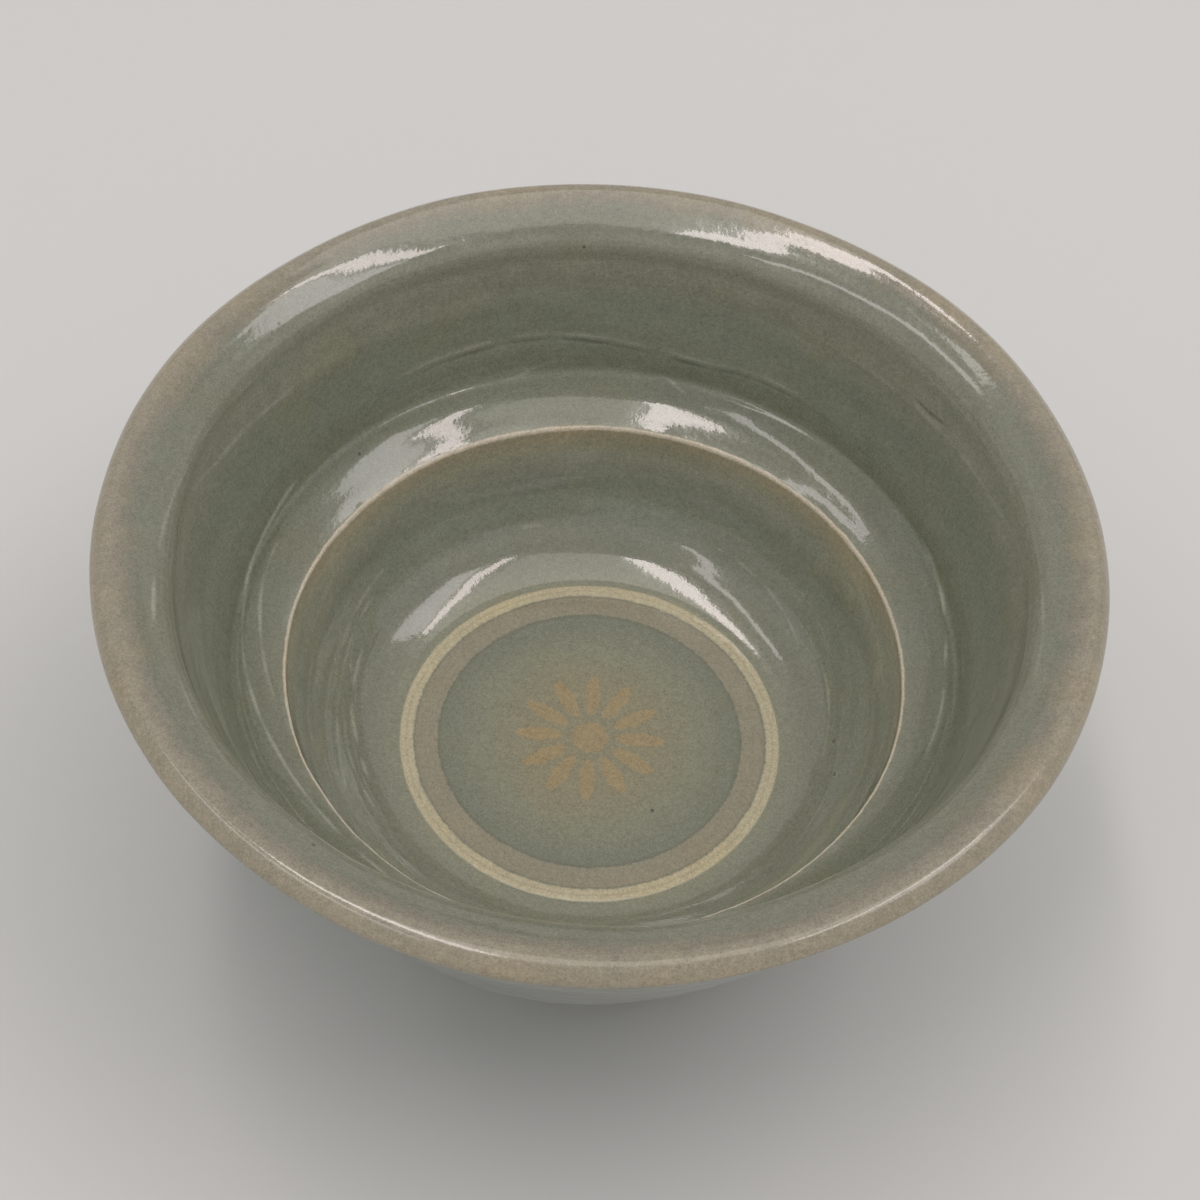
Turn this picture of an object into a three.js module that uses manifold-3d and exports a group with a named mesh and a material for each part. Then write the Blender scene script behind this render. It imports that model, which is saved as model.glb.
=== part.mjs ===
// A two-tier celadon wine cup. Millimetres, +Z up, the foot stands on z = 0 and Z is the axis.
// The clay body carries everything. The glaze lies on it in three areas, parted by the slip
// ring in the floor and by the bare foot ring. A slip flower is set in pockets in the floor.

import * as THREE from 'three';
import { mergeVertices } from 'three/addons/utils/BufferGeometryUtils.js';
import Module from 'manifold-3d';

// Radii inside the cup, each counted outwards from the one before
const discRadius = 13.4;
const bandWidth = 2.15;
const ringWidth = 1.25;
const wellFlare = 9.2;
const ledgeWidth = 2.55;
const bowlFlare = 5.55;
const lipWidth = 5.9;

// Heights inside the cup, each counted upwards from the one before
const floorHeight = 12.5;
const wellDepth = 11.6;
const ledgeRise = 1.5;
const bowlDepth = 13.35;
const lipRise = 2.95;

// Sunken disc in the floor, with a sloping edge
const discStep = 0.3;
const edgeSlope = 0.8;

// Lower well: a flat margin by the ring, a toe that turns up, and a steep wall under the ridge
const ringMargin = 0.6;
const toeReach = 5.5;
const toeRise = 0.9;
const wellLean = 0.7;
const wellSteep = 5.8;

// Upper bowl: where the ledge bends and turns up into the wall, and the shoulder under the mouth
const bendWidth = 1.3;
const bendRise = 1.1;
const turnWidth = 2.25;
const turnRise = 2.6;
const shoulderWidth = 0.55;
const shoulderDrop = 2.75;

// Lip: it flares from the mouth to its inner slope, and rounds over its crest to the outside
const flareWidth = 0.7;
const flareRise = 1.2;
const slopeWidth = 2.1;
const slopeDrop = 0.87;
const browInset = 2.65;
const browDrop = 0.3;
const crestInset = 1.1;
const lipRadius = 1.1;
const underLip = 0.8;

// Outside: wall, belly under the ledge, keel and heel above the foot
const wallThickness = 2.6;
const bellyThickness = 5.4;
const bellyDrop = 1.2;
const keelThickness = 2.2;
const keelDrop = 8.1;
const heelFlare = 6.4;
const heelRise = 4.3;

// Foot ring and the recess inside it
const footRadius = 18.6;
const footTaper = 0.5;
const footHeight = 7.2;
const footRingWidth = 3.6;
const footBevel = 0.4;
const recessDepth = 6.0;
const recessFillet = 1.4;

// Glaze, where it ends on the foot, and how far the slip goes into the clay under it
const glazeDepth = 0.45;
const glazeLine = 1.6;
const slipDepth = 0.45;
const ringCrown = 0.15;

// Flower of slip in the middle of the floor, with the gap round each piece of it
const petalCount = 12;
const petalLength = 4.0;
const petalWidth = 1.2;
const centreRadius = 1.5;
const centreGap = 1.0;
const slipGap = 0.3;

// Facets
const turns = 48;
const curveSteps = 5;
const splineSteps = 2;
const outlineSteps = 16;

// Radii and heights that follow from the sizes above
const ringInner = discRadius + bandWidth;
const ringOuter = ringInner + ringWidth;
const ridgeRadius = ringOuter + wellFlare;
const ledgeRadius = ridgeRadius + ledgeWidth;
const mouthRadius = ledgeRadius + bowlFlare;
const rimRadius = mouthRadius + lipWidth;
const discHeight = floorHeight - discStep;
const ridgeHeight = floorHeight + wellDepth;
const ledgeHeight = ridgeHeight + ledgeRise;
const mouthHeight = ledgeHeight + bowlDepth;
const crestHeight = mouthHeight + lipRise;
const flowerBottom = discHeight - glazeDepth - slipDepth;
const ringBottom = floorHeight - glazeDepth - slipDepth;
const recessRadius = footRadius - footRingWidth;

const wasm = await Module();
wasm.setup();

const clay = { color: 0x9a8c78, roughness: 0.85, metalness: 0 };
const celadon = { color: 0x6f7664, roughness: 0.16, metalness: 0 };
const creamSlip = { color: 0xb3a67a, roughness: 0.3, metalness: 0 };
const ochreSlip = { color: 0x8d7a4f, roughness: 0.3, metalness: 0 };

function at(radius, height) {
  return new THREE.Vector2(radius, height);
}

// The same line, moved by depth to its right as one walks along it
function beside(line, depth) {
  return line.map((point, i) => {
    const before = line[Math.max(i - 1, 0)];
    const after = line[Math.min(i + 1, line.length - 1)];
    const along = after.clone().sub(before).normalize();
    return at(point.x + along.y * depth, point.y - along.x * depth);
  });
}

// Glazed surface inside the slip ring, from the axis outwards
function floorLine() {
  return [
    at(0, discHeight),
    at(discRadius - edgeSlope, discHeight),
    at(discRadius, floorHeight),
    at(ringInner, floorHeight),
  ];
}

// Glazed surface from the slip ring up the well, over the lip and down to the foot
function bowlLine() {
  const well = new THREE.CubicBezierCurve(
    at(ringOuter + ringMargin, floorHeight),
    at(ringOuter + toeReach, floorHeight + toeRise),
    at(ridgeRadius - wellLean, ridgeHeight - wellSteep),
    at(ridgeRadius, ridgeHeight),
  );
  const turn = at(ledgeRadius + turnWidth, ledgeHeight + turnRise);
  const shoulder = at(mouthRadius - shoulderWidth, mouthHeight - shoulderDrop);
  const bowl = new THREE.SplineCurve([
    at(ridgeRadius, ridgeHeight),
    at(ledgeRadius, ledgeHeight),
    at(ledgeRadius + bendWidth, ledgeHeight + bendRise),
    turn,
    shoulder,
    at(mouthRadius, mouthHeight),
    at(mouthRadius + flareWidth, mouthHeight + flareRise),
    at(mouthRadius + slopeWidth, crestHeight - slopeDrop),
    at(rimRadius - browInset, crestHeight - browDrop),
    at(rimRadius - crestInset, crestHeight),
    at(rimRadius, crestHeight - lipRadius),
    at(rimRadius - underLip, crestHeight - 2 * lipRadius),
    at(shoulder.x + wallThickness, shoulder.y),
    at(turn.x + wallThickness, turn.y),
    at(ridgeRadius + bellyThickness, ridgeHeight - bellyDrop),
    at(ridgeRadius + keelThickness, ridgeHeight - keelDrop),
    at(footRadius + heelFlare, footHeight + heelRise),
    at(footRadius + footTaper, footHeight),
  ]);
  return [
    at(ringOuter, floorHeight),
    ...well.getPoints(curveSteps),
    ...bowl.getPoints(splineSteps * (bowl.points.length - 1)).slice(1),
    at(footRadius, glazeLine),
  ];
}

// Glazed surface inside the foot, from the edge of the glaze up to the axis
function recessLine() {
  const corner = new THREE.QuadraticBezierCurve(
    at(recessRadius, recessDepth - recessFillet),
    at(recessRadius, recessDepth),
    at(recessRadius - recessFillet, recessDepth),
  );
  return [at(recessRadius, glazeLine), ...corner.getPoints(curveSteps), at(0, recessDepth)];
}

// A body of revolution round Z, from an outline that has its material on the right. An outline
// that stays clear of the axis closes on its own first point.
function turned(outline) {
  const loop = outline[0].x > 0 ? [...outline, outline[0]] : outline;
  const geometry = new THREE.LatheGeometry(loop.toReversed(), turns);
  geometry.rotateX(Math.PI / 2);
  return geometry;
}

function ellipse(halfLength, halfWidth) {
  const outline = new THREE.EllipseCurve(0, 0, halfLength, halfWidth);
  return new THREE.Shape(outline.getPoints(outlineSteps).slice(0, -1));
}

function upright(shape, bottom, top) {
  const geometry = new THREE.ExtrudeGeometry(shape, { depth: top - bottom, bevelEnabled: false });
  geometry.translate(0, 0, bottom);
  return geometry;
}

// One petal, or its pocket, which is larger by the gap: out along X, then turned round the axis
function petal(index, gap, top) {
  const shape = ellipse(0.5 * petalLength + gap, 0.5 * petalWidth + gap);
  const geometry = upright(shape, flowerBottom, top);
  geometry.translate(centreRadius + centreGap + 0.5 * petalLength, 0, 0);
  geometry.rotateZ((index * 2 * Math.PI) / petalCount);
  return geometry;
}

function flowerCentre(gap, top) {
  return upright(ellipse(centreRadius + gap, centreRadius + gap), flowerBottom, top);
}

function toSolid(geometry) {
  const bare = geometry.clone();
  bare.deleteAttribute('normal');
  bare.deleteAttribute('uv');
  const merged = mergeVertices(bare);
  return new wasm.Manifold(new wasm.Mesh({
    numProp: 3,
    vertProperties: new Float32Array(merged.attributes.position.array),
    triVerts: new Uint32Array(merged.index.array),
  }));
}

function fromSolid(solid) {
  const mesh = solid.getMesh();
  const geometry = new THREE.BufferGeometry();
  geometry.setAttribute('position', new THREE.BufferAttribute(mesh.vertProperties, 3));
  geometry.setIndex(new THREE.BufferAttribute(mesh.triVerts, 1));
  geometry.computeVertexNormals();
  return geometry;
}

// Cuts the flower's pockets, which open upwards
function withPockets(geometry) {
  let solid = toSolid(geometry).subtract(toSolid(flowerCentre(slipGap, floorHeight)));
  for (let i = 0; i < petalCount; i += 1) {
    solid = solid.subtract(toSolid(petal(i, slipGap, floorHeight)));
  }
  return fromSolid(solid);
}

const cup = new THREE.Group();

function add(name, geometry, finish) {
  const mesh = new THREE.Mesh(geometry, new THREE.MeshStandardMaterial(finish));
  mesh.name = name;
  cup.add(mesh);
}

const floorGlazed = floorLine();
const bowlGlazed = bowlLine();
const recessGlazed = recessLine();
const floorClay = floorGlazed.map((point) => at(point.x, point.y - glazeDepth));
const bowlClay = beside(bowlGlazed, glazeDepth);
const recessClay = beside(recessGlazed, glazeDepth);

// Clay: the floor, the groove of the slip ring, the bowl, the foot ring and the recess
const footOutside = bowlClay.at(-1).x;
const footInside = recessClay[0].x;
add('cup_body', withPockets(turned([
  ...floorClay,
  at(ringInner, ringBottom),
  at(ringOuter, ringBottom),
  ...bowlClay,
  at(footOutside, footBevel),
  at(footOutside - footBevel, 0),
  at(footInside + footBevel, 0),
  at(footInside, footBevel),
  ...recessClay,
])), clay);

// Glaze: each coat runs along its surface and back along the clay under it
add('bowl_glaze', turned([...bowlGlazed, ...bowlClay.toReversed()]), celadon);
add('floor_glaze', withPockets(turned([...floorGlazed, ...floorClay.toReversed()])), celadon);
add('recess_glaze', turned([...recessClay.toReversed(), ...recessGlazed]), celadon);

// Slip ring: fills its groove and stands a little proud, with a rounded crown
const crown = new THREE.QuadraticBezierCurve(
  at(ringInner, floorHeight),
  at(ringInner + 0.5 * ringWidth, floorHeight + 2 * ringCrown),
  at(ringOuter, floorHeight),
);
add('slip_ring', turned([
  at(ringInner, ringBottom),
  ...crown.getPoints(curveSteps),
  at(ringOuter, ringBottom),
]), creamSlip);

// Flower: a round centre and the petals, their faces level with the glaze
add('flower_centre', flowerCentre(0, discHeight), ochreSlip);
for (let i = 0; i < petalCount; i += 1) {
  add(`petal_${String(i + 1).padStart(2, '0')}`, petal(i, 0, discHeight), ochreSlip);
}

export default cup;
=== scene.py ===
# A celadon wine cup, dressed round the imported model. Blender units are metres; the sizes
# in the dictionaries are millimetres, as the potter would measure them.
from math import atan2, cos, pi, radians, sin
import bpy
import numpy as np
from mathutils import Matrix, Vector
from mathutils.geometry import delaunay_2d_cdt


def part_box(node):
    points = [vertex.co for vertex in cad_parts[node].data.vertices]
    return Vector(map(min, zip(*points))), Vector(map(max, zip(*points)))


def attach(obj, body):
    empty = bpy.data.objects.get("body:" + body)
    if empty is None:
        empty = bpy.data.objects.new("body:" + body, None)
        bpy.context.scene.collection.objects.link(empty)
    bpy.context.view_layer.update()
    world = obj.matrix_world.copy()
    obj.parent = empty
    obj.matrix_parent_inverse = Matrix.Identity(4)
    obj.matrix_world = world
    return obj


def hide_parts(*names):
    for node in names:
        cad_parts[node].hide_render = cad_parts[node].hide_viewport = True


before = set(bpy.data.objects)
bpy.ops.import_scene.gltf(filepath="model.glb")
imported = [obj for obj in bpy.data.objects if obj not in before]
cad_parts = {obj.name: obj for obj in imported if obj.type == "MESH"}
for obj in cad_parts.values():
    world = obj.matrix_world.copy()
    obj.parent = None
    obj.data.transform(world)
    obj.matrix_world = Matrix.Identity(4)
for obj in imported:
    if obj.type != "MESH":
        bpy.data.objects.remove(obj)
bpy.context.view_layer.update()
mm = 0.001
print("frame loaded,", len(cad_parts), "nodes")


def reach(node):
    low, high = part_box(node)
    return high.x / mm, high.z / mm


# The section of the cup. Radii and heights that the model's boxes give come from there.
ringInner, floorHeight = reach("floor_glaze")
ringOuter = reach("slip_ring")[0]
rimRadius, crestHeight = reach("bowl_glaze")
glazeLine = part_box("bowl_glaze")[0].z / mm
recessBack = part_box("recess_glaze")[1].z / mm

section = {
    "discRadius": 13.4,       # sunken disc
    "discHeight": 12.42,
    "discEdge": 1.6,          # width of its rounded edge
    "ringCrown": 0.02,        # how far the slip ring stands proud
    "wellMargin": 0.6,        # flat beside the ring
    "toe": (5.5, 0.9),        # how the well leaves the floor: out and up
    "steep": (0.7, 5.8),      # how it comes up to the ridge: in and down from there
    "ridge": (26.0, 24.1),    # where the well ends and the ledge begins
    "ridgeRound": 0.28,
    "ledge": (28.55, 25.6),
    "bend": (29.85, 26.7),    # where the ledge begins to turn up
    "turn": (30.8, 28.2),
    "shoulder": (33.55, 36.2),
    "mouth": (34.1, 38.95),   # where the steep wall ends
    "flare": (34.8, 40.15),
    "slope": (36.2, 41.03),   # inner slope of the lip
    "brow": (37.35, 41.6),
    "crestInset": 1.1,        # how far its crest lies in from the rim
    "rimHeight": 40.8,
    "underLip": (39.2, 39.7),
    "wall": 2.6,
    "belly": (31.4, 22.9),
    "keel": (28.2, 16.0),
    "heel": (25.0, 11.5),
    "footTop": (19.1, 7.2),
    "footRadius": 18.6,
    "footFlare": (0.3, 4.6),  # how far the foot widens upwards, and by what height
    "arris": [(0, 1.5), (0.02, 0.6), (0.1, 0.2), (0.4, 0.02), (0.7, 0)],    # worn edge: in, and up
    "recessRadius": 15.0,
    "recessRound": 1.4,
    "recessDome": 0.2,        # how far its ceiling rises to the middle
    "glaze": 0.45,            # thickness of the glaze
    "glazeEnd": (0.25, 0.5),  # how far it rounds in at its edge on the foot, and from what height
    "slip": 0.9,              # how deep the slip reaches
}

# How fine the meshes are
fineness = {
    "turns": 480,             # steps round the cup
    "floorTurns": 240,        # and round its floor and its clay
    "insideGap": 0.18,        # spacing along the section inside, in millimetres
    "outsideGap": 0.55,
    "backSteps": 90,          # points along the hidden side of the glaze
    "recessBackSteps": 30,
    "curveSteps": 60,         # points along a curve of the section
    "spanSteps": 24,          # and along each span of the bowl's line
}


def runOf(line, start=0.0):
    # how far along the line each of its points lies
    return start + np.concatenate([[0], np.cumsum(np.linalg.norm(np.diff(line, axis=0), axis=1))])


def smoothLine(points, steps):
    # Catmull-Rom line through the points
    p = np.array(points, float)
    p = np.vstack([p[:1], p, p[-1:]])
    t = np.linspace(0, 1, steps, endpoint=False)[:, None]
    spans = []
    for a, b, c, d in zip(p, p[1:], p[2:], p[3:]):
        u, v = (c - a) / 2, (d - b) / 2
        spans.append(((2 * b - 2 * c + u + v) * t - 3 * b + 3 * c - 2 * u - v) * t * t + u * t + b)
    return np.vstack(spans + [p[-1:]])


def bendLine(a, b, c, d, steps):
    # cubic Bezier line
    a, b, c, d = (np.array(p, float) for p in (a, b, c, d))
    t = np.linspace(0, 1, steps)[:, None]
    return (1 - t) ** 3 * a + 3 * (1 - t) ** 2 * t * b + 3 * (1 - t) * t * t * c + t ** 3 * d


def roundOff(corner, before, after, size, steps=9):
    # a short curve over a corner, from one leg to the other
    corner, before, after = (np.array(p, float) for p in (corner, before, after))
    start = corner + size * (before - corner) / np.linalg.norm(before - corner)
    end = corner + size * (after - corner) / np.linalg.norm(after - corner)
    t = np.linspace(0, 1, steps)[:, None]
    return (1 - t) ** 2 * start + 2 * (1 - t) * t * corner + t * t * end


def respaced(line, gap):
    # the same line with its points about that far apart
    run = runOf(line)
    at = np.linspace(0, run[-1], max(2, round(run[-1] / gap) + 1))
    return np.stack([np.interp(at, run, line[:, 0]), np.interp(at, run, line[:, 1])], 1)


def smoothStep(low, high, value):
    t = np.clip((value - low) / (high - low), 0, 1)
    return t * t * (3 - 2 * t)


def floorAt(radius):
    # height of the floor inside the ring
    s = section
    edge = smoothStep(s["discRadius"] - 0.6 * s["discEdge"], s["discRadius"] + 0.4 * s["discEdge"], radius)
    return s["discHeight"] + (floorHeight - s["discHeight"]) * edge


def wellLine():
    s = section
    (out, rise), (lean, drop), (r, z) = s["toe"], s["steep"], s["ridge"]
    return bendLine((ringOuter + s["wellMargin"], floorHeight), (ringOuter + out, floorHeight + rise),
                    (r - lean, z - drop), (r, z), fineness["curveSteps"])


def bowlLine():
    s = section
    return smoothLine([
        s["ridge"], s["ledge"], s["bend"], s["turn"], s["shoulder"], s["mouth"], s["flare"],
        s["slope"], s["brow"], (rimRadius - s["crestInset"], crestHeight), (rimRadius, s["rimHeight"]),
        s["underLip"], (s["shoulder"][0] + s["wall"], s["shoulder"][1]),
        (s["turn"][0] + s["wall"], s["turn"][1]),
        s["belly"], s["keel"], s["heel"], s["footTop"],
    ], fineness["spanSteps"])


def glazeEnd(radius, side):
    # rounded end of the glaze on the foot, downwards; the clay lies inwards where side is -1
    into, up = section["glazeEnd"]
    return np.array([(radius, glazeLine + up), (radius + 0.24 * into * side, glazeLine + 0.3 * up),
                     (radius + into * side, glazeLine)])


def outerSection():
    # glazed surface from the slip ring up and over the lip to the edge of the glaze
    s, f = section, fineness
    bowl = bowlLine()
    rim = int(np.argmax(bowl[:, 0]))
    well = respaced(wellLine(), f["insideGap"])
    bowl = np.vstack([respaced(bowl[:rim + 1], f["insideGap"]), respaced(bowl[rim:], f["outsideGap"])[1:]])
    size, ridge = s["ridgeRound"], np.array(s["ridge"])
    well = well[np.linalg.norm(well - ridge, axis=1) > size]
    bowl = bowl[np.linalg.norm(bowl - ridge, axis=1) > size]
    flare, height = s["footFlare"]
    return np.vstack([[(ringOuter, floorHeight)], well, roundOff(ridge, well[-1], bowl[0], size), bowl,
                      [(s["footRadius"] + flare, height)], glazeEnd(s["footRadius"], -1)])


def ringSection():
    r = np.linspace(ringInner, ringOuter, 13)
    u = (r - ringInner) / (ringOuter - ringInner) * 2 - 1
    return np.stack([r, floorHeight + section["ringCrown"] * (1 - u * u)], 1)


def recessSection():
    # glazed surface inside the foot, from the edge of the glaze up to the axis
    r, size = section["recessRadius"], section["recessRound"]
    height = recessBack - section["glaze"]
    corner = roundOff((r, height), (r, glazeLine), (0, height), size, 13)
    flat = np.linspace(r - size, 0, fineness["curveSteps"])[1:]
    dome = height + section["recessDome"] * (1 - (flat / (r - size)) ** 2)
    return np.vstack([glazeEnd(r, 1)[::-1], corner, np.stack([flat, dome], 1)])


# The floor's points lie closest over the edge of the disc
edgeStart, edgeEnd = section["discRadius"] - 0.8, section["discRadius"] + 0.6
floorRadii = np.concatenate([np.linspace(0, edgeStart, 46), np.linspace(edgeStart, edgeEnd, 15)[1:],
                             np.linspace(edgeEnd, ringInner, 8)[1:]])
floorLine = np.stack([floorRadii, floorAt(floorRadii)], 1)
floorRun = runOf(floorLine)
ringLine = ringSection()
ringRun = runOf(ringLine, floorRun[-1])
outerLine = outerSection()
outerRun = runOf(outerLine, ringRun[-1])
recessLine = recessSection()
recessRun = runOf(recessLine)


def runAt(point):
    # how far along the glazed section a point of it lies, from the axis
    return outerRun[np.argmin(np.linalg.norm(outerLine - np.array(point, float), axis=1))]


landmarks = ("ridge", "ledge", "turn", "shoulder", "mouth", "slope", "underLip", "belly", "keel",
             "heel", "footTop")
place = {name: runAt(section[name]) for name in landmarks}
place["crest"] = outerRun[np.argmax(outerLine[:, 1])]
place["rim"] = outerRun[np.argmax(outerLine[:, 0])]
print("section", {k: round(float(v), 1) for k, v in place.items()})

# Marks of the hand in the surface
hand = {
    "rings": 0.022,           # depth of the throwing rings
    "ringSpacing": 3.4,
    "waves": 0.05,            # slow unevenness of the wall
    "waveLength": 17,
    "ripples": 0.0125,        # quicker unevenness
    "rippleLength": 6,
    "jag": 0.012,             # raggedness of the ridge
    "rimWave": 0.10,          # rise and fall of the lip
    "outOfRound": 0.08,
    "meanRadius": 28,         # of the wall, to space what lies round the cup
    "glazeWave": 0.22,        # how far the edge of the glaze strays on the foot
    "seed": 7,
}

# Thin lines the potter's tool left inside. Each course gives the bearing, in degrees from the
# far side towards the right, and how far from the ridge the line runs there; a line with a
# tone above zero stands up and is painted pale as a highlight, one below zero is cut in and
# painted dark as shade.
toolLines = [
    # upper wall
    {"course": [(-112, 20.3), (-100, 19.5), (-90, 18.9), (-80, 18.2), (-70, 17.8), (-60, 17.2),
                (-50, 16.0)], "tone": 0.6},
    {"course": [(-104, 18.3), (-98, 17.8), (-90, 16.7), (-80, 15.6), (-75, 14.8), (-70, 14.3), (-63, 13.9),
                (-52, 13.4)], "tone": 0.9},
    {"course": [(-140, 19.8), (-125, 19.6), (-115, 19.0), (-105, 18.0)], "tone": 0.4},
    {"course": [(-118, 13.2), (-107, 12.2), (-100, 11.3), (-94, 9.6)], "tone": 0.6},
    {"course": [(74, 18.2), (88, 18.9), (100, 19.5), (112, 19.9)], "tone": 0.4},
    {"course": [(26, 14.2), (42, 14.0), (60, 14.4), (68, 14.8), (75, 15.3), (80, 15.9), (90, 17.0),
                (100, 17.6), (110, 18.3)], "tone": 0.7},
    {"course": [(92, 10.0), (98, 11.3), (104, 12.0), (112, 12.5)], "tone": 0.4},
    {"course": [(80, 7.4), (88, 6.0), (97, 6.0)], "tone": 0.35},
    # crease across the far wall, a painted highlight above and painted shade below
    {"course": [(-38, 7.9), (-21, 8.5), (-10, 8.5), (5, 7.6), (15, 7.2), (24, 7.6), (40, 7.2), (50, 6.5)],
     "tone": -0.55},
    {"course": [(-40, 8.4), (-21, 9.0), (-10, 9.0), (5, 8.1), (15, 7.7), (24, 8.1), (36, 7.8)],
     "tone": 0.6},
    {"course": [(3, 10.8), (6, 11.7), (12, 14.5), (18, 17.4), (23, 18.2)], "tone": -0.6},
    {"course": [(48, 14.9), (54, 14.8), (60, 15.6)], "tone": -0.6},
    # lower wall and ledge
    {"course": [(-150, 1.6), (-133, 1.5), (-118, 2.1), (-107, 3.0), (-98, 3.8), (-90, 4.4), (-80, 5.1),
                (-70, 5.5), (-58, 6.1)], "tone": 0.8},
    {"course": [(-107, 0.8), (-100, 1.6), (-95, 2.1), (-90, 2.6), (-84, 3.2), (-78, 3.6), (-70, 3.9)],
     "tone": 0.7},
    {"course": [(60, 5.6), (70, 5.2), (82, 4.5), (90, 3.9), (98, 3.7), (106, 3.2), (114, 2.5)],
     "tone": 0.6},
    # well
    {"course": [(-92, -9.4), (-84, -9.0), (-76, -8.6), (-70, -8.2), (-62, -7.7), (-52, -7.2)], "tone": 0.6},
    {"course": [(-116, -9.8), (-104, -9.9), (-93, -9.9), (-80, -9.6), (-70, -9.0), (-58, -8.4)],
     "tone": 0.6},
    {"course": [(-128, -13.0), (-114, -12.0), (-104, -11.2), (-94, -10.7), (-84, -10.2)], "tone": 0.5},
    {"course": [(-112, -12.9), (-100, -12.2), (-90, -11.5), (-80, -11.0), (-68, -10.4)], "tone": 0.7},
    {"course": [(56, -10.2), (66, -10.5), (76, -10.9), (86, -11.6), (96, -12.2)], "tone": 0.5},
    {"course": [(24, -9.4), (40, -9.9), (54, -10.9), (64, -11.9)], "tone": 0.5},
    # small smears
    {"course": [(-16, 17.0), (-11, 16.3), (-7, 16.3)], "tone": 0.6},
    {"course": [(-9, 14.0), (-6, 14.0)], "tone": 0.6},
    {"course": [(-20, 5.0), (-17, 5.2), (-13, 5.9), (-8, 6.4)], "tone": 0.7},
    {"course": [(4, 5.0), (6, 5.3), (9, 5.2), (12, 4.4), (16, 3.5)], "tone": 0.5},
    {"course": [(-21, -9.9), (-18, -9.8), (-14, -10.0)], "tone": 0.8},
    {"course": [(43, 7.0), (45, 7.0)], "tone": 0.8},
]
toolMark = {"width": 0.20, "height": 0.03, "fade": 6}


def waves(run, angle, length, count, seed, lay=1.0):
    # smooth unevenness that closes round the cup, about 1 high, with waves near that length;
    # a small lay draws it out round the cup
    draw = np.random.default_rng(seed)
    total = np.zeros(np.broadcast(run, angle).shape)
    for _ in range(count):
        size = length * draw.uniform(0.7, 1.6)
        lean = draw.uniform(0, 2 * pi)
        around = round(lay * 2 * pi * hand["meanRadius"] / size * cos(lean))
        total += np.sin(around * angle + 2 * pi / size * sin(lean) * run + draw.uniform(0, 2 * pi))
    return total / np.sqrt(count / 2)


def lineMarks(run, angle):
    # how strongly a tool line shows at each point: above zero it stands up and is painted pale as a
    # highlight, below zero it is cut in and painted dark as shade
    bearing = 90 - np.degrees(angle)
    bearing = (bearing + 180) % 360 - 180
    total = np.zeros(np.broadcast(run, angle).shape)
    uneven = 0.75 + 0.25 * waves(run, angle, 5, 8, hand["seed"] + 4)
    for mark in toolLines:
        course = smoothLine(mark["course"], 8)
        centre = place["ridge"] + np.interp(bearing, course[:, 0], course[:, 1])
        fade = min(toolMark["fade"], (course[-1, 0] - course[0, 0]) / 3)
        ends = smoothStep(0, fade, np.minimum(bearing - course[0, 0], course[-1, 0] - bearing))
        total += mark["tone"] * ends * np.exp(-((run - centre) / toolMark["width"]) ** 2)
    return total * uneven


def handMarks(run, angle):
    # how far the surface stands out of the true section, along its normal
    h, seed = hand, hand["seed"]
    inside = smoothStep(ringRun[-1] + 1.5, ringRun[-1] + 5, run)
    rings = waves(run, angle, h["ringSpacing"], 7, seed, 0.05)
    slow = waves(run, angle, h["waveLength"], 9, seed + 1)
    quick = waves(run, angle, h["rippleLength"], 12, seed + 2)
    ragged = waves(0 * run, angle, 4.0, 9, seed + 3) + 0.7 * waves(0 * run, angle, 1.7, 9, seed + 5)
    ragged = ragged * np.exp(-((run - place["ridge"]) / 0.45) ** 2)
    return inside * (h["rings"] * rings + h["waves"] * slow + h["ripples"] * quick + h["jag"] * ragged
                     + toolMark["height"] * lineMarks(run, angle))


def handWarp(points):
    # the whole cup a little out of true, growing from nothing at the foot
    x, y, z = points.T
    angle = np.arctan2(y, x)
    grow = np.clip(z / crestHeight, 0, 1) ** 2
    out = 1 + hand["outOfRound"] / rimRadius * grow * np.sin(2 * angle + 0.9)
    wave = 0.7 * np.sin(2 * angle + 2.1) + 0.3 * np.sin(5 * angle)
    lift = hand["rimWave"] * grow * (smoothStep(20, 40, np.hypot(x, y)) * wave - 0.6)
    return np.stack([x * out, y * out, z + lift], 1)


def normalsOf(line):
    # unit normals on the left as one walks along the line
    along = np.gradient(line, axis=0)
    along /= np.linalg.norm(along, axis=1)[:, None]
    return np.stack([-along[:, 1], along[:, 0]], 1)


def makeMesh(name, points, faces, floats, sharp=()):
    mesh = bpy.data.meshes.new(name)
    mesh.from_pydata((points * mm).tolist(), [], faces)
    mesh.shade_smooth()
    for key, values in floats.items():
        mesh.attributes.new(key, "FLOAT", "POINT").data.foreach_set("value", np.asarray(values, np.float32))
    if len(sharp):
        wanted = {tuple(sorted(e)) for e in sharp}
        flags = [tuple(sorted(e.vertices)) in wanted for e in mesh.edges]
        mesh.attributes.new("sharp_edge", "BOOLEAN", "EDGE").data.foreach_set("value", flags)
    mesh.validate()
    piece = bpy.data.objects.new(name, mesh)
    bpy.context.scene.collection.objects.link(piece)
    return piece


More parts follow.
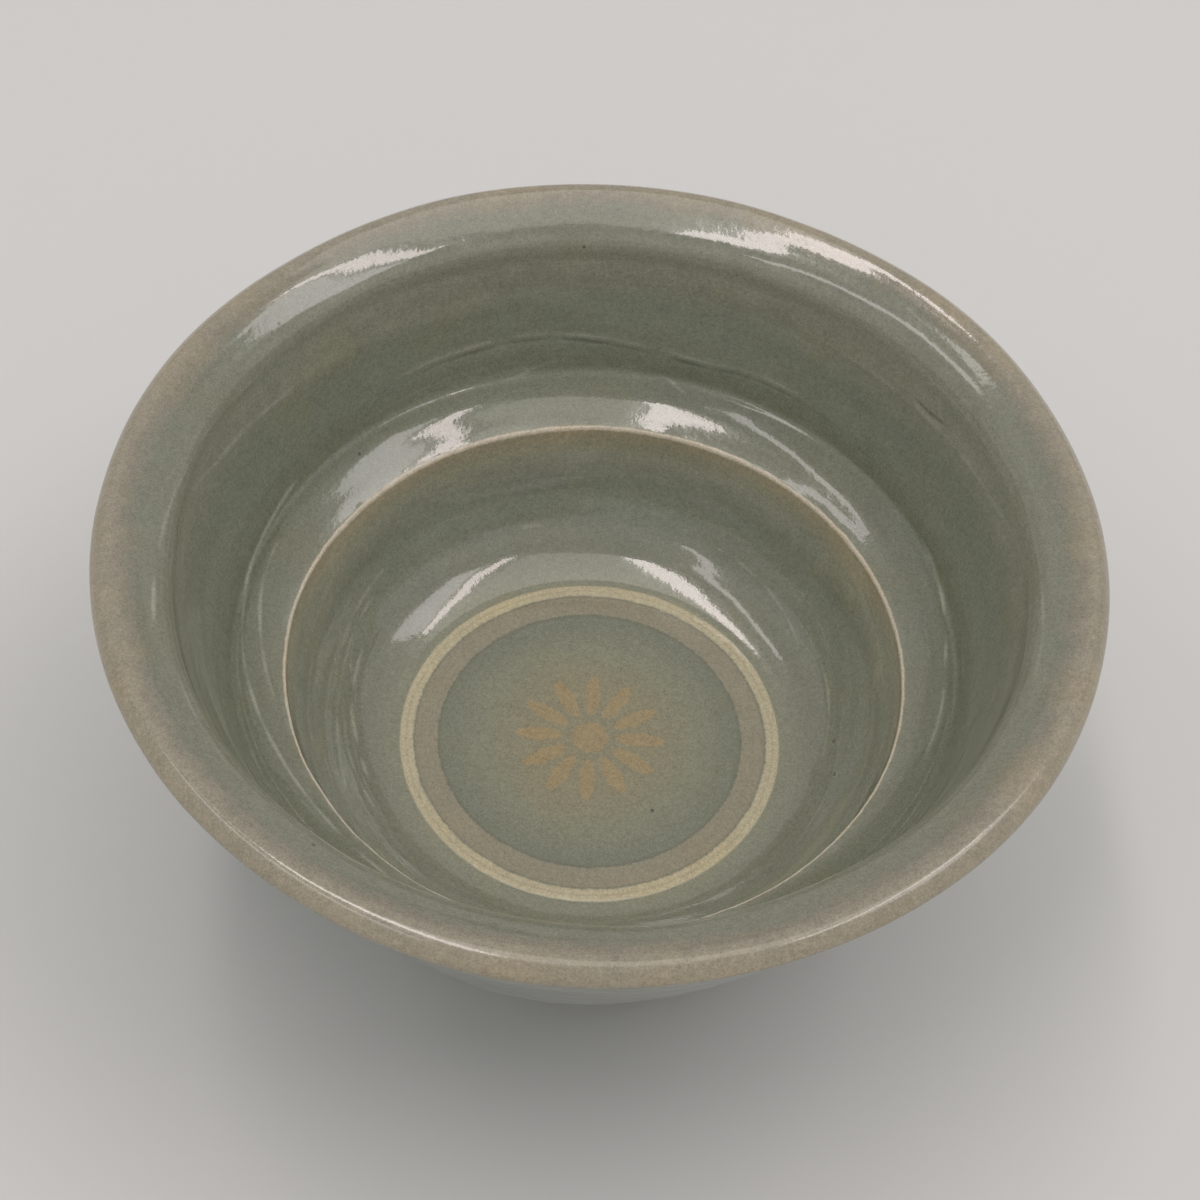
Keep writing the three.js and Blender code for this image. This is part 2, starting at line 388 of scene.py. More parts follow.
def turned(name, face, faceRun, back, turns, marks=True, wobble=None):
    # a closed body of revolution: its finished face, and its hidden back in the same order
    angle = np.linspace(0, 2 * pi, turns, endpoint=False)[:, None]
    grid = (turns, len(face))
    offset, marked = np.zeros(grid), np.zeros(grid)
    if marks:
        offset = handMarks(faceRun[None, :], angle)
        marked = lineMarks(faceRun[None, :], angle)
    out = normalsOf(face)
    r = face[None, :, 0] + offset * out[None, :, 0]
    z = face[None, :, 1] + offset * out[None, :, 1]
    if wobble is not None:
        z = z + wobble(faceRun[None, :], angle)
    r = np.concatenate([r, np.repeat(back[None, ::-1, 0], turns, 0)], 1)
    z = np.concatenate([z, np.repeat(back[None, ::-1, 1], turns, 0)], 1)
    run = np.concatenate([faceRun, np.linspace(faceRun[-1], faceRun[0], len(back))])
    marked = np.concatenate([marked, np.zeros((turns, len(back)))], 1).reshape(-1)
    points = np.stack([r * np.cos(angle), r * np.sin(angle), z], 2).reshape(-1, 3)

    # one point for each place on the axis, and no faces between two of them
    size = r.shape[1]
    index = np.arange(turns * size).reshape(turns, size)
    onAxis = [i for i in range(size) if abs(r[0, i]) < 1e-6]
    index[:, onAxis] = index[0, onAxis]
    nextTurn = np.roll(index, -1, 0)
    faces = []
    for i in range(size):
        j = (i + 1) % size
        if i in onAxis and j in onAxis:
            continue
        for a, b, c, d in zip(index[:, i], nextTurn[:, i], nextTurn[:, j], index[:, j]):
            corner = [int(a), int(d), int(c), int(b)]
            faces.append([v for k, v in enumerate(corner) if v != corner[k - 1]])
    edges = []
    for i in (0, len(face) - 1):
        if i not in onAxis:
            edges += zip(index[:, i], nextTurn[:, i])

    used, faces = renumbered(faces)
    edges = np.searchsorted(used, edges)
    floats = {"run": np.tile(run, turns)[used], "line": marked[used], "inlay": np.full(len(used), -1.0)}
    return makeMesh(name, handWarp(points[used]), faces, floats, edges)


def renumbered(faces):
    # which points the faces use, and the faces by their places in that list
    used = sorted({v for f in faces for v in f})
    number = {v: k for k, v in enumerate(used)}
    return used, [[number[v] for v in f] for f in faces]


def backOf(line, depth, count):
    # the hidden side of a coat, plainer than its face
    keep = np.unique(np.linspace(0, len(line) - 1, count).astype(int))
    back = line - normalsOf(line) * depth
    back[line[:, 0] == 0, 0] = 0
    return back[keep]


def thickened(name, flat, heights, faces, depth, floats):
    # a closed body from a flat net: its face, its back at that depth, and its rim
    points = np.column_stack([flat, heights])
    back = points - (0, 0, depth)
    count = len(points)
    rim = {}
    for f in faces:
        for a, b in zip(f, f[1:] + f[:1]):
            if (b, a) in rim:
                del rim[(b, a)]
            else:
                rim[(a, b)] = True
    sides = [[a, a + count, b + count, b] for a, b in rim]
    closed = list(faces) + [[v + count for v in reversed(f)] for f in faces] + sides
    return makeMesh(name, handWarp(np.vstack([points, back])), closed,
                    {k: np.tile(v, 2) for k, v in floats.items()}, list(rim))


# Flower of slip in the middle of the floor
flower = {
    "petals": 12,
    "length": 4.0,
    "width": 1.2,
    "centre": 1.5,
    "gap": 1.0,
    "spread": 0.14,           # how far the slip runs out past the cut pocket
    "crown": 0.004,
    "net": 0.27,              # spacing of the mesh round it
    "reach": 7.8,             # radius of that part of the floor
}


def ellipseRing(halfLength, halfWidth, count=44):
    t = np.linspace(0, 2 * pi, count, endpoint=False)
    return np.stack([halfLength * np.cos(t), halfWidth * np.sin(t)], 1)


def flowerOutlines():
    f = flower
    grown = f["spread"]
    outlines = [ellipseRing(f["centre"] + grown, f["centre"] + grown)]
    for k in range(f["petals"]):
        turn = 2 * pi * k / f["petals"]
        petal = ellipseRing(f["length"] / 2 + grown, f["width"] / 2 + grown)
        petal[:, 0] += f["centre"] + f["gap"] + f["length"] / 2
        outlines.append(petal @ np.array([[cos(turn), sin(turn)], [-sin(turn), cos(turn)]]))
    return outlines


def insideOf(outline, points):
    x, y = points.T
    hit = np.zeros(len(points), bool)
    for (ax, ay), (bx, by) in zip(outline, np.roll(outline, -1, 0)):
        crosses = (ay > y) != (by > y)
        with np.errstate(divide="ignore", invalid="ignore"):
            hit ^= crosses & (x < (bx - ax) * (y - ay) / (by - ay) + ax)
    return hit


def inlayDepth(outlines, points):
    # distance in from the nearest edge of the slip, below zero outside it
    near = np.full(len(points), 1e9)
    within = np.zeros(len(points), bool)
    for outline in outlines:
        a, b = outline, np.roll(outline, -1, 0)
        leg = b - a
        for start, step in zip(a, leg):
            t = np.clip((points - start) @ step / (step @ step), 0, 1)
            near = np.minimum(near, np.linalg.norm(points - start - t[:, None] * step, axis=1))
        within |= insideOf(outline, points)
    return np.where(within, near, -near)


def flowerNet(turns):
    # triangles round the flower, and in it, with the faces of each outline by its number
    f = flower
    outlines = flowerOutlines()
    columns = np.arange(-f["reach"], f["reach"], f["net"])
    rows = np.arange(-f["reach"], f["reach"], f["net"] * 0.866)
    grid = np.array([(x + (k % 2) * f["net"] / 2, y) for k, y in enumerate(rows) for x in columns])
    grid = grid[np.linalg.norm(grid, axis=1) < f["reach"] - f["net"] / 2]
    grid = grid[np.abs(inlayDepth(outlines, grid)) > f["net"] * 0.45]
    border = ellipseRing(f["reach"], f["reach"], turns)
    given, edges = [], []
    for outline in [border] + outlines:
        first, count = len(given), len(outline)
        given += outline.tolist()
        edges += [(first + k, first + (k + 1) % count) for k in range(count)]
    given += grid.tolist()
    points, _, faces, *_ = delaunay_2d_cdt([Vector(p) for p in given], edges, [], 0, 1e-7)
    points = np.array([tuple(p) for p in points])
    faces = [list(t) for t in faces]
    for t in faces:
        (ax, ay), (bx, by), (cx, cy) = points[t[0]], points[t[1]], points[t[2]]
        if (bx - ax) * (cy - ay) - (by - ay) * (cx - ax) < 0:
            t.reverse()
    middles = np.array([points[t].mean(0) for t in faces])
    owner = np.zeros(len(faces), int)
    for k, outline in enumerate(outlines):
        owner[insideOf(outline, middles)] = k + 1
    netFaces = {k: [t for t, o in zip(faces, owner) if o == k] for k in range(len(outlines) + 1)}
    return points, netFaces, outlines


def floorNet(turns):
    # the net round the flower, with rings from its border out to the slip ring
    netPoints, netFaces, outlines = flowerNet(turns)
    border = [k for k, p in enumerate(netPoints) if abs(np.hypot(*p) - flower["reach"]) < 1e-4]
    border.sort(key=lambda k: np.arctan2(netPoints[k][1], netPoints[k][0]) % (2 * pi))
    spin = [np.arctan2(netPoints[k][1], netPoints[k][0]) for k in border]
    radii = np.concatenate([np.linspace(flower["reach"], edgeStart, 12)[1:],
                            floorRadii[floorRadii > edgeStart + 0.01]])
    points, last = [tuple(p) for p in netPoints], border
    for radius in radii:
        fresh = list(range(len(points), len(points) + len(spin)))
        points += [(radius * cos(a), radius * sin(a)) for a in spin]
        for k in range(len(spin)):
            n = (k + 1) % len(spin)
            netFaces[0].append([last[k], fresh[k], fresh[n], last[n]])
        last = fresh
    return np.array(points), netFaces, outlines


# Node helpers
def newFinish(name):
    finish = bpy.data.materials.new(name)
    finish.use_nodes = True
    return finish, finish.node_tree, finish.node_tree.nodes["Principled BSDF"]


def node(tree, kind, sockets=None, **settings):
    made = tree.nodes.new("ShaderNode" + kind)
    for key, value in settings.items():
        setattr(made, key, value)
    for key, value in (sockets or {}).items():
        if isinstance(value, bpy.types.NodeSocket):
            tree.links.new(value, made.inputs[key])
        else:
            made.inputs[key].default_value = value
    return made


def calc(tree, operation, a, b=0.0, c=0.0):
    return node(tree, "Math", {0: a, 1: b, 2: c}, operation=operation).outputs[0]


def blend(tree, amount, a, b, kind="MIX"):
    return node(tree, "Mix", {0: amount, 6: a, 7: b}, data_type="RGBA", blend_type=kind).outputs[2]


def grain(tree, place, scale, detail=2.0, rough=0.5):
    # noise round zero, from about -0.5 to 0.5
    made = node(tree, "TexNoise", {"Vector": place, "Scale": scale, "Detail": detail, "Roughness": rough})
    return calc(tree, "SUBTRACT", made.outputs["Fac"], 0.5)


def ramp(tree, value, stops, ease="LINEAR"):
    made = node(tree, "ValToRGB", {"Fac": value})
    made.color_ramp.interpolation = ease
    made.color_ramp.elements.remove(made.color_ramp.elements[1])
    for k, (where, colour) in enumerate(sorted(stops, key=lambda stop: stop[0])):
        element = made.color_ramp.elements[0] if k == 0 else made.color_ramp.elements.new(where)
        element.position = where
        element.color = colour
    return made


def window(tree, value, low, high):
    # 0 below low, 1 above high
    made = node(tree, "MapRange", {"Value": value, "From Min": low, "From Max": high},
                interpolation_type="SMOOTHSTEP")
    return made.outputs["Result"]


def sumOf(tree, total, *parts):
    # the total with each part added, times its share
    for part, share in parts:
        total = calc(tree, "MULTIPLY_ADD", part, share, total)
    return total


# Celadon: what a repaint of the glaze would change. Colours are linear.
celadon = {
    "green": (0.212, 0.217, 0.161, 1),
    "deep": (0.186, 0.198, 0.140, 1),     # where the glaze lies thick
    "wall": (0.238, 0.257, 0.197, 1),     # on the steep wall, lighter as painted light that offsets the shade it gets
    "haze": (0.292, 0.296, 0.228, 1),
    "mist": (0.335, 0.342, 0.266, 1),     # paler where the wall meets the lip; under the ridge, painted light against the shade of the steep well wall
    "olive": (0.255, 0.235, 0.147, 1),    # round the flower
    "floor": (0.233, 0.234, 0.160, 1),
    "pale": (0.247, 0.246, 0.172, 1),     # where it lies thin
    "thin": (0.238, 0.219, 0.161, 1),     # thinner still, inside the lip
    "lip": (0.285, 0.254, 0.188, 1),      # clay showing through on the lip
    "rim": (0.356, 0.314, 0.232, 1),
    "rust": (0.268, 0.218, 0.142, 1),     # under the lip
    "discEdgeShade": (0.150, 0.155, 0.108, 1),     # painted shade along the edge of the sunken disc
    "shade": (0.215, 0.203, 0.140, 1),    # soft line inside the slip ring
    "band": (0.285, 0.258, 0.180, 1),     # tan band between the disc and the ring
    "warm": (0.480, 0.405, 0.265, 1),     # tan tone under the ridge
    "ivoryGlint": (0.760, 0.670, 0.540, 1),    # on the ridge: pale where the glaze runs thin, brightened as a painted highlight
    "cream": (0.500, 0.445, 0.295, 1),    # slip ring
    "straw": (0.420, 0.370, 0.235, 1),    # darker trace along it
    "ochre": (0.345, 0.258, 0.125, 1),    # flower
    "toolLineGlint": (0.360, 0.370, 0.300, 1),   # painted highlight on tool lines that stand up
    "toolLineShade": (0.085, 0.100, 0.075, 1),      # painted shade in those cut in
    "iron": (0.040, 0.030, 0.022, 1),     # specks
    "cloud": (1.03, 1.0, 0.94, 1),        # tint of the slow clouds
    "drift": 1.6,                         # how far the broad bands stray, in millimetres
    "fray": 0.22,                         # and the sharp ones
    "slipFray": 0.45,                     # and the edge of the flower
    "mottle": 0.20,                       # how strongly each unevenness shades the colour
    "grain": 0.52,
    "speck": 1.04,
    "streak": 0.16,
    "roughness": 0.16,
    "rimRoughness": 0.16,                 # added where the glaze runs thin over the rim
    "rimDulling": 0.7,                    # and taken from the coat there
    "coatRoughness": 0.05,
    "coatIndex": 1.55,
    "relief": 0.00003,                    # height of the unevenness, in metres
    "ripple": 0.000016,                   # and of the coat over it
    "stillRipple": 0.000002,              # and of the coat on the flat floor
}


def clear(colour, strength):
    return colour[:3] + (strength,)


def broadStops():
    # the slow change of colour along the section; the steep wall and the well under the ridge are lifted
    # with painted light against their shade
    c, p = celadon, place
    return [
        (0.0, c["olive"]), (6.0, c["olive"]), (9.5, c["floor"]), (12.9, c["deep"]),
        (ringRun[-1] + 0.5, c["pale"]), (ringRun[-1] + 3, c["green"]), (ringRun[-1] + 8, c["wall"]),
        (p["ridge"] - 5.5, c["wall"]), (p["ridge"] - 3, c["mist"]), (p["ridge"] - 0.8, c["mist"]),
        (p["ridge"] + 0.8, c["green"]), (p["ledge"], c["deep"]), (p["turn"] - 1, c["deep"]),
        (p["turn"] + 1.5, c["wall"]), (p["shoulder"] - 3, c["wall"]), (p["shoulder"] - 0.3, c["haze"]),
        (p["mouth"] - 1.4, c["mist"]), (p["mouth"] + 0.6, c["haze"]), (p["mouth"] + 1.6, c["green"]),
        (p["slope"] + 0.2, c["green"]), (p["slope"] + 1.3, c["thin"]), (p["crest"] - 0.5, c["lip"]),
        (p["rim"] - 0.6, c["rim"]), (p["rim"] + 0.3, c["rim"]), (p["underLip"] + 0.2, c["rust"]),
        (p["underLip"] + 2.8, c["pale"]), (p["belly"], c["green"]), (p["keel"], c["deep"]),
        (p["footTop"] - 0.5, c["deep"]), (outerRun[-1] - 2.5, c["green"]),
        (outerRun[-1] - 0.7, c["lip"]), (outerRun[-1], c["warm"]),
    ]


def sharpStops():
    # sharp bands from the disc's edge to the ridge, each with how strongly it covers; among them painted
    # shade round the disc and inside the slip ring, and a painted highlight on the ridge
    c, p = celadon, place
    ringStart, ringEnd = floorRun[-1], ringRun[-1]
    disc = section["discRadius"]
    return [
        (disc - 2.2, clear(c["deep"], 0)), (disc - 0.4, clear(c["deep"], 0.5)),
        # painted shade along the edge of the disc
        (disc - 0.06, clear(c["discEdgeShade"], 0.8)), (disc + 0.10, clear(c["band"], 0.9)),
        (disc + 0.5, clear(c["band"], 0.95)), (ringStart - 0.3, clear(c["band"], 0.9)),
        (ringStart - 0.06, clear(c["shade"], 0.7)), (ringStart + 0.08, clear(c["cream"], 0.9)),
        (ringStart + 0.45, clear(c["cream"], 1)), (ringStart + 0.6, clear(c["straw"], 1)),
        (ringStart + 0.75, clear(c["cream"], 1)), (ringEnd - 0.12, clear(c["cream"], 1)),
        (ringEnd + 0.06, clear(c["pale"], 0)),
        # the ridge: tan below, then pale thin glaze brightened as a painted highlight
        (p["ridge"] - 3.0, clear(c["warm"], 0)), (p["ridge"] - 1.6, clear(c["warm"], 0.4)),
        (p["ridge"] - 0.36, clear(c["warm"], 0.85)), (p["ridge"] - 0.22, clear(c["ivoryGlint"], 0.95)),
        (p["ridge"] + 0.15, clear(c["ivoryGlint"], 1)), (p["ridge"] + 0.30, clear(c["pale"], 0.15)),
        (p["ridge"] + 1.2, clear(c["pale"], 0)),
    ]


def recessStops():
    c = celadon
    return [(0.0, c["lip"]), (1.2, c["green"]), (4.5, c["deep"]), (9.0, c["green"]),
            (recessRun[-1], c["floor"])]


def rampAlong(tree, run, stops):
    # a ramp whose stops are given in millimetres along the section
    start, width = stops[0][0], stops[-1][0] - stops[0][0]
    within = calc(tree, "DIVIDE", calc(tree, "SUBTRACT", run, start), width)
    return ramp(tree, within, [((where - start) / width, colour) for where, colour in stops])


def glazeNoise(tree, run):
    # the unevenness that the colour, the shine and the surface share
    position = node(tree, "TexCoord").outputs["Object"]
    spot = node(tree, "VectorMath", {0: position, "Scale": 1 / mm}, operation="SCALE").outputs[0]
    # streaks laid round the cup, from noise that changes fast along the section
    flat = node(tree, "VectorMath", {0: position, 1: (1, 1, 0)}, operation="MULTIPLY").outputs[0]
    outward = node(tree, "VectorMath", {0: flat}, operation="NORMALIZE").outputs[0]
    along = node(tree, "CombineXYZ", {2: calc(tree, "MULTIPLY", run, 1.1)}).outputs[0]
    spun = node(tree, "VectorMath", {0: outward, 1: (3.5, 3.5, 0), 2: along}, operation="MULTIPLY_ADD")
    return {
        "spot": spot,
        "slow": grain(tree, spot, 0.16, 2),
        "mottle": grain(tree, spot, 0.55, 3, 0.6),
        "grain": grain(tree, spot, 2.4, 3, 0.6),
        "speck": grain(tree, spot, 6.5, 2, 0.7),
        "streak": grain(tree, spun.outputs[0], 1.0, 3, 0.65),
    }


def laidOn(tree, under, colour, amount, cover):
    # a colour laid over another, up to that cover
    return blend(tree, calc(tree, "MULTIPLY", amount, cover), under, colour)


def insideColour(tree, broadRun, run, noise):
    # the bands of the glaze and the slip, the flower, and the tool lines
    c = celadon
    broad = rampAlong(tree, broadRun, broadStops()).outputs["Color"]
    sharpRun = sumOf(tree, run, (noise["grain"], c["fray"]), (noise["mottle"], c["fray"]))
    sharp = rampAlong(tree, sharpRun, sharpStops())
    colour = blend(tree, sharp.outputs["Alpha"], broad, sharp.outputs["Color"])
    inlay = node(tree, "Attribute", attribute_name="inlay").outputs["Fac"]
    soft = sumOf(tree, inlay, (noise["grain"], c["slipFray"]))
    colour = laidOn(tree, colour, c["ochre"], window(tree, soft, -0.14, 0.24), 0.8)
    # tool lines: a painted highlight where they stand up, painted shade where they are cut in
    line = node(tree, "Attribute", attribute_name="line").outputs["Fac"]
    colour = laidOn(tree, colour, c["toolLineGlint"], window(tree, line, 0.06, 0.7), 0.8)
    hollow = calc(tree, "MULTIPLY", line, -1.0)
    return laidOn(tree, colour, c["toolLineShade"], window(tree, hollow, 0.06, 0.7), 0.65)


def withGrain(tree, colour, noise):
    # slow olive clouds, the grain of the body seen through the glaze, and sparse iron specks
    c = celadon
    cloud = blend(tree, 1.0, colour, c["cloud"], "MULTIPLY")
    colour = blend(tree, window(tree, noise["slow"], -0.02, 0.2), colour, cloud)
    tone = sumOf(tree, 1.0, *[(noise[k], c[k]) for k in ("mottle", "grain", "speck", "streak")])
    grey = node(tree, "CombineColor", {0: tone, 1: tone, 2: tone}).outputs[0]
    colour = blend(tree, 1.0, colour, grey, "MULTIPLY")
    cells = node(tree, "TexVoronoi", {"Vector": noise["spot"], "Scale": 0.32}, feature="F1")
    chosen = window(tree, node(tree, "SeparateColor", {0: cells.outputs["Color"]}).outputs[0], 0.80, 0.86)
    dot = calc(tree, "SUBTRACT", 1.0, window(tree, cells.outputs["Distance"], 0.03, 0.08))
    return laidOn(tree, colour, c["iron"], calc(tree, "MULTIPLY", dot, chosen), 0.75)


def shine(tree, shader, run, noise, overLip):
    # a glossy coat over a softer shine
    c = celadon
    rough = sumOf(tree, c["roughness"], (noise["grain"], 0.12))
    shader.inputs["Coat Weight"].default_value = 1.0
    if overLip:
        # the glaze runs thin over the rim and shines less there
        overRim = calc(tree, "MULTIPLY", window(tree, run, place["crest"] - 0.3, place["crest"] + 1.1),
                       window(tree, run, place["underLip"] + 3.0, place["underLip"]))
        rough = sumOf(tree, rough, (overRim, c["rimRoughness"]))
        tree.links.new(sumOf(tree, 1.0, (overRim, -c["rimDulling"])), shader.inputs["Coat Weight"])
    tree.links.new(rough, shader.inputs["Roughness"])
    shader.inputs["Coat Roughness"].default_value = c["coatRoughness"]
    shader.inputs["Coat IOR"].default_value = c["coatIndex"]


def relief(tree, shader, noise, ripple):
    # soft relief in the glaze, and a calmer coat over it
    body = sumOf(tree, noise["mottle"], (noise["grain"], 0.35), (noise["streak"], 0.5),
                 (noise["speck"], 0.04))
    skin = sumOf(tree, noise["mottle"], (noise["grain"], 0.14), (noise["streak"], 0.35))
    for socket, height, depth in (("Normal", body, celadon["relief"]), ("Coat Normal", skin, ripple)):
        bump = node(tree, "Bump", {"Height": height, "Strength": 1.0, "Distance": depth})
        tree.links.new(bump.outputs[0], shader.inputs[socket])


def celadonFinish(name, overLip=False, recess=False, ripple=celadon["ripple"]):
    finish, tree, shader = newFinish(name)
    run = node(tree, "Attribute", attribute_name="run").outputs["Fac"]
    noise = glazeNoise(tree, run)
    drift = celadon["drift"]
    broadRun = sumOf(tree, run, (noise["slow"], drift), (noise["mottle"], drift))
    if recess:
        colour = rampAlong(tree, broadRun, recessStops()).outputs["Color"]
    else:
        colour = insideColour(tree, broadRun, run, noise)
    tree.links.new(withGrain(tree, colour, noise), shader.inputs["Base Color"])
    shine(tree, shader, run, noise, overLip)
    relief(tree, shader, noise, ripple)
    return finish


# Bare clay of the foot ring
stoneware = {
    "clay": (0.33, 0.235, 0.155, 1),
    "burnt": (0.22, 0.130, 0.075, 1),
    "ash": (0.42, 0.360, 0.280, 1),
    "grit": 0.00012,          # height of the grit, in metres
    "roughness": 0.82,
}


def clayFinish():
    finish, tree, shader = newFinish("bareStoneware")
    c = stoneware
    position = node(tree, "TexCoord").outputs["Object"]
    spot = node(tree, "VectorMath", {0: position, "Scale": 1 / mm}, operation="SCALE").outputs[0]
    slow = grain(tree, spot, 0.25, 3)
    fine = grain(tree, spot, 3.0, 4, 0.65)
    colour = blend(tree, window(tree, slow, -0.15, 0.2), c["clay"], c["burnt"])
    colour = blend(tree, window(tree, fine, 0.06, 0.3), colour, c["ash"])
    tree.links.new(colour, shader.inputs["Base Color"])
    tree.links.new(sumOf(tree, c["roughness"], (fine, 0.2)), shader.inputs["Roughness"])
    bump = node(tree, "Bump", {"Height": fine, "Strength": 0.8, "Distance": c["grit"]})
    tree.links.new(bump.outputs[0], shader.inputs["Normal"])
    return finish


def dress(piece, finish, slot, *nodes):
    piece.data.materials.append(finish)
    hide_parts(*nodes)
    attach(piece, "root")
    return piece


def footEdge(far):
    # the edge of the glaze rises and falls round the foot; far is where it lies along the section
    def wobble(where, angle):
        near = smoothStep(2.4, 0.2, np.abs(where - far))
        rise = np.sin(3 * angle + 1) + 0.6 * np.sin(7 * angle) + 0.4 * np.sin(13 * angle + 2)
        return near * hand["glazeWave"] * rise
    return wobble


turns, floorTurns = fineness["turns"], fineness["floorTurns"]

# Bowl, from the slip ring over the lip to the foot
outerBack = backOf(outerLine, section["glaze"], fineness["backSteps"])
outer = turned("bowlGlaze", outerLine, outerRun, outerBack, turns, wobble=footEdge(outerRun[-1]))
dress(outer, celadonFinish("celadonCoat", overLip=True), "celadon", "bowl_glaze")
print("bowl glaze", len(outer.data.polygons))

# Slip ring in its groove
grooveHeight = floorHeight - section["slip"]
groove = np.array([(ringInner, grooveHeight), (ringOuter, grooveHeight)])
ring = turned("slipRing", ringLine, ringRun, groove, turns, marks=False)
dress(ring, celadonFinish("creamSlip"), "cream_slip", "slip_ring")
print("slip ring", len(ring.data.polygons))

# Floor inside the ring, with the flower let into it
netPoints, netFaces, outlines = floorNet(floorTurns)
netRadii = np.hypot(*netPoints.T)
netRun = np.interp(netRadii, floorRadii, floorRun)
netInlay = np.clip(inlayDepth(outlines, netPoints), -1, 1)


def laidPiece(name, faces, depth, crown=0.0):
    # a closed body of that depth under some of the floor's faces
    used, own = renumbered(faces)
    heights = floorAt(netRadii[used]) + crown * smoothStep(0, 0.35, np.maximum(netInlay[used], 0))
    return thickened(name, netPoints[used], heights, own, depth,
                     {"run": netRun[used], "inlay": netInlay[used]})


still = celadon["stillRipple"]
floorPiece = laidPiece("floorGlaze", netFaces[0], section["glaze"])
dress(floorPiece, celadonFinish("celadonFloor", ripple=still), "celadon", "floor_glaze")
print("floor glaze", len(floorPiece.data.polygons))

ochreSlip = celadonFinish("ochreSlip", ripple=still)
for k in range(len(outlines)):
    name, cadNode = ("flowerCentre", "flower_centre") if k == 0 else (f"petal{k:02d}", f"petal_{k:02d}")
    petal = laidPiece(name, netFaces[k + 1], section["slip"], flower["crown"])
    dress(petal, ochreSlip, "ochre_slip", cadNode)
print("flower", len(outlines), "pieces")

# Hollow of the foot
recessBackLine = backOf(recessLine, section["glaze"], fineness["recessBackSteps"])
recess = turned("recessGlaze", recessLine, recessRun, recessBackLine, turns, marks=False,
                wobble=footEdge(0.0))
dress(recess, celadonFinish("celadonRecess", recess=True), "celadon", "recess_glaze")
print("recess glaze", len(recess.data.polygons))


def clayLine():
    # the clay under the glaze, the foot ring that stays bare, and the clay over the recess
    s = section
    arris = np.array(s["arris"])
    outside = (s["footRadius"] - s["glaze"], 0) + arris * (-1, 1)
    inside = (s["recessRadius"] + s["glaze"], 0) + arris[::-1]
    floorClay = np.stack([floorRadii, floorAt(floorRadii) - s["glaze"]], 1)[::4]
    return np.vstack([floorClay, groove, outerBack, outside, inside, recessBackLine])


# Clay, whose line starts and ends on the axis
clayFace = clayLine()
clay = turned("clayBody", clayFace, runOf(clayFace), clayFace[:0], floorTurns, marks=False)
dress(clay, clayFinish(), "clay", "cup_body")
print("clay", len(clay.data.polygons))

# Stage: pale floor that turns up into a backdrop all round, soft lamps, camera
stage = {
    "floorRadius": 1.1,        # metres
    "backdropRadius": 1.5,
    "backdropHeight": 0.75,
    "paint": (0.70, 0.70, 0.69, 1),
    "room": (0.45, 0.46, 0.46, 1),
}


def makeStage():
    s = stage
    fillet = s["backdropRadius"] - s["floorRadius"]
    t = np.linspace(0, pi / 2, 13)
    bend = np.stack([s["floorRadius"] + fillet * np.sin(t), fillet * (1 - np.cos(t))], 1)
    line = np.vstack([[(0.0, 0.0)], bend, [(s["backdropRadius"], s["backdropHeight"])]])
    count, size = 96, len(line)
    angle = np.linspace(0, 2 * pi, count, endpoint=False)[:, None]
    points = np.stack([line[None, :, 0] * np.cos(angle), line[None, :, 0] * np.sin(angle),
                       np.repeat(line[None, :, 1], count, 0)], 2)
    index = np.arange(count * size).reshape(count, size)
    index[:, 0] = 0
    faces = []
    for k in range(count):
        n = (k + 1) % count
        for i in range(size - 1):
            quad = [int(index[k, i]), int(index[k, i + 1]), int(index[n, i + 1]), int(index[n, i])]
            faces.append([v for j, v in enumerate(quad) if v != quad[j - 1]])
    backdrop = makeMesh("paleFloor", points.reshape(-1, 3) / mm, faces, {})
    paint, tree, shader = newFinish("palePaint")
    shader.inputs["Base Color"].default_value = s["paint"]
    shader.inputs["Roughness"].default_value = 0.9
    shader.inputs["Specular IOR Level"].default_value = 0.2
    backdrop.data.materials.append(paint)
    world = bpy.data.worlds.new("studio")
    world.use_nodes = True
    world.node_tree.nodes["Background"].inputs["Color"].default_value = s["room"]
    bpy.context.scene.world = world


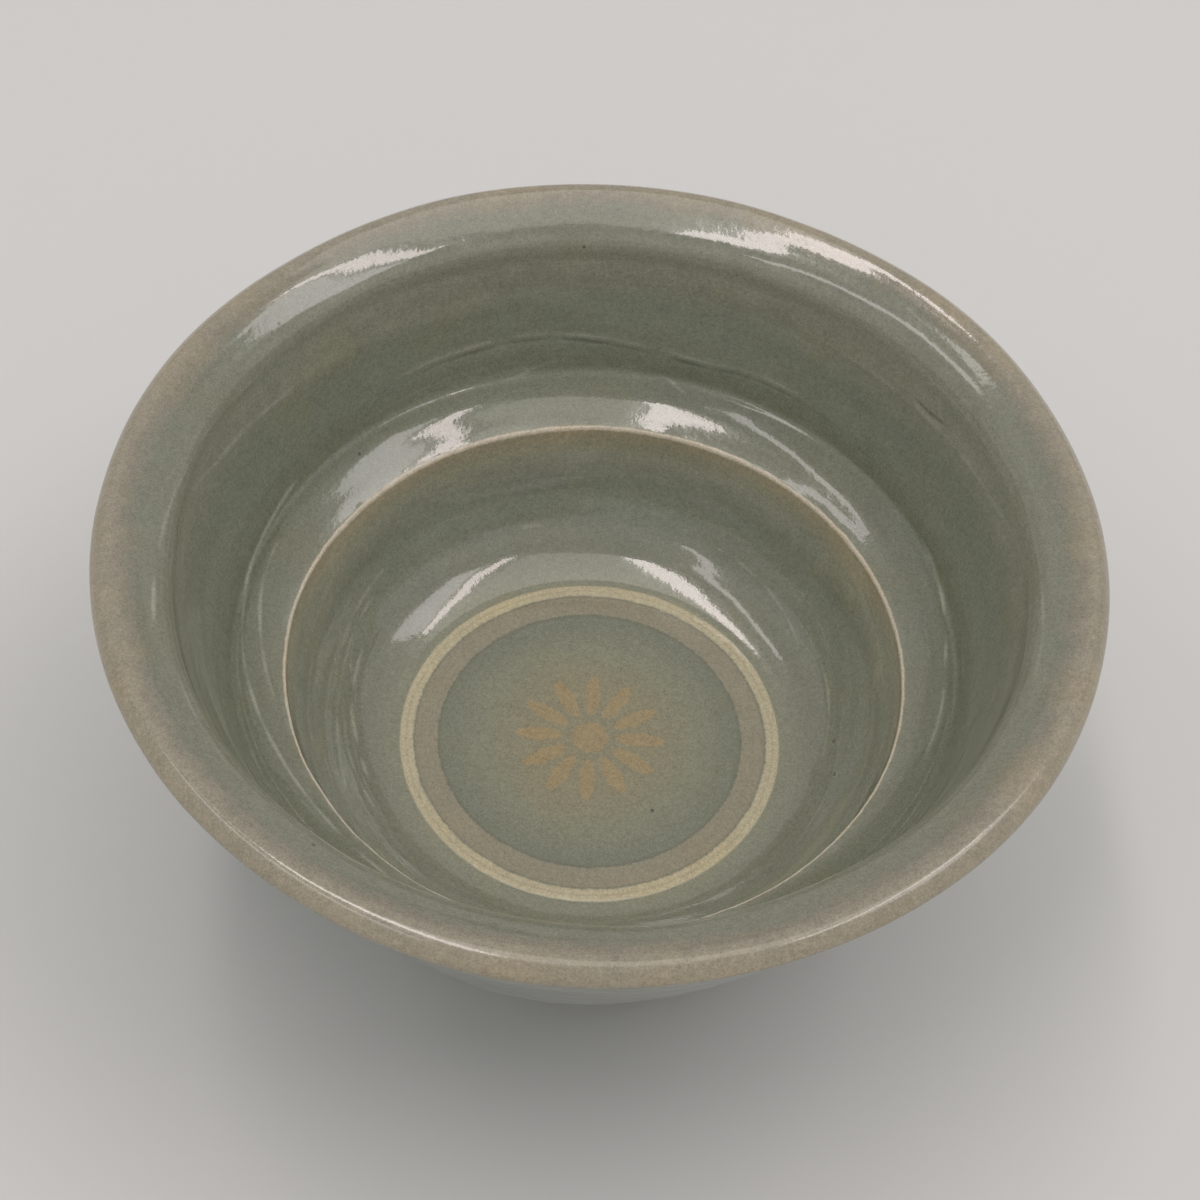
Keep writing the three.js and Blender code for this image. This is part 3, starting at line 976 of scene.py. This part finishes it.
# Lamps: long flat panels overhead that face down. Each runs from its far end to its near end,
# both in metres to the right of the cup and away behind it; glow is how bright it looks.
lamps = [
    {"name": "rightTube", "far": (0.360, 0.324), "near": (0.450, -0.342), "width": 0.085,
     "glow": 6.0, "tint": (1.0, 0.88, 0.87)},
    {"name": "rightPanel", "far": (0.562, 0.306), "near": (0.693, -0.300), "width": 0.280,
     "glow": 2.2, "tint": (1.0, 0.95, 0.97)},
    {"name": "leftTube", "far": (-0.212, 0.360), "near": (-0.150, -0.342), "width": 0.095,
     "glow": 6.8, "tint": (1.0, 0.90, 0.89)},
    {"name": "leftPanel", "far": (-0.585, 0.270), "near": (-0.441, -0.650), "width": 0.120,
     "glow": 2.7, "tint": (1.0, 0.94, 0.94)},
    {"name": "ceiling", "far": (0.063, 0.405), "near": (0.063, -0.315), "width": 0.504,
     "glow": 0.9, "tint": (1.0, 0.96, 0.88)},
]
lampHeight = 0.9


def makeLamps():
    for lamp in lamps:
        far, near = Vector(lamp["far"]), Vector(lamp["near"])
        light = bpy.data.lights.new(lamp["name"], "AREA")
        light.shape = "RECTANGLE"
        light.size, light.size_y = lamp["width"], (far - near).length
        light.energy = lamp["glow"] * pi * light.size * light.size_y
        light.color = lamp["tint"]
        box = bpy.data.objects.new(lamp["name"], light)
        box.location = ((far.x + near.x) / 2, (far.y + near.y) / 2, lampHeight)
        box.rotation_euler = (0, 0, atan2(far.y - near.y, far.x - near.x) - pi / 2)
        box.visible_camera = False
        bpy.context.scene.collection.objects.link(box)


# Camera, as the photo was taken: from above the near side, a little tilted to the left
view = {
    "place": (0.0, -0.1208, 0.19124),    # metres
    "pitch": 52.74,                      # degrees below level
    "yaw": 0.03,
    "roll": -3.95,
    "lens": 73.18,
}


def makeCamera():
    v = view
    pitch, yaw, roll = radians(v["pitch"]), radians(v["yaw"]), radians(v["roll"])
    ahead = Vector((sin(yaw) * cos(pitch), cos(yaw) * cos(pitch), -sin(pitch)))
    right = Vector((cos(yaw), -sin(yaw), 0))
    down = ahead.cross(right)
    side, under = cos(roll) * right + sin(roll) * down, cos(roll) * down - sin(roll) * right
    lens = bpy.data.cameras.new("camera")
    lens.lens, lens.sensor_width = v["lens"], 36
    camera = bpy.data.objects.new("camera", lens)
    camera.matrix_world = Matrix((side, -under, -ahead)).transposed().to_4x4()
    camera.location = v["place"]
    bpy.context.scene.collection.objects.link(camera)
    bpy.context.scene.camera = camera


makeStage()
makeLamps()
makeCamera()
bpy.context.scene.view_settings.view_transform = "Standard"
print("stage set")

bpy.context.view_layer.update()
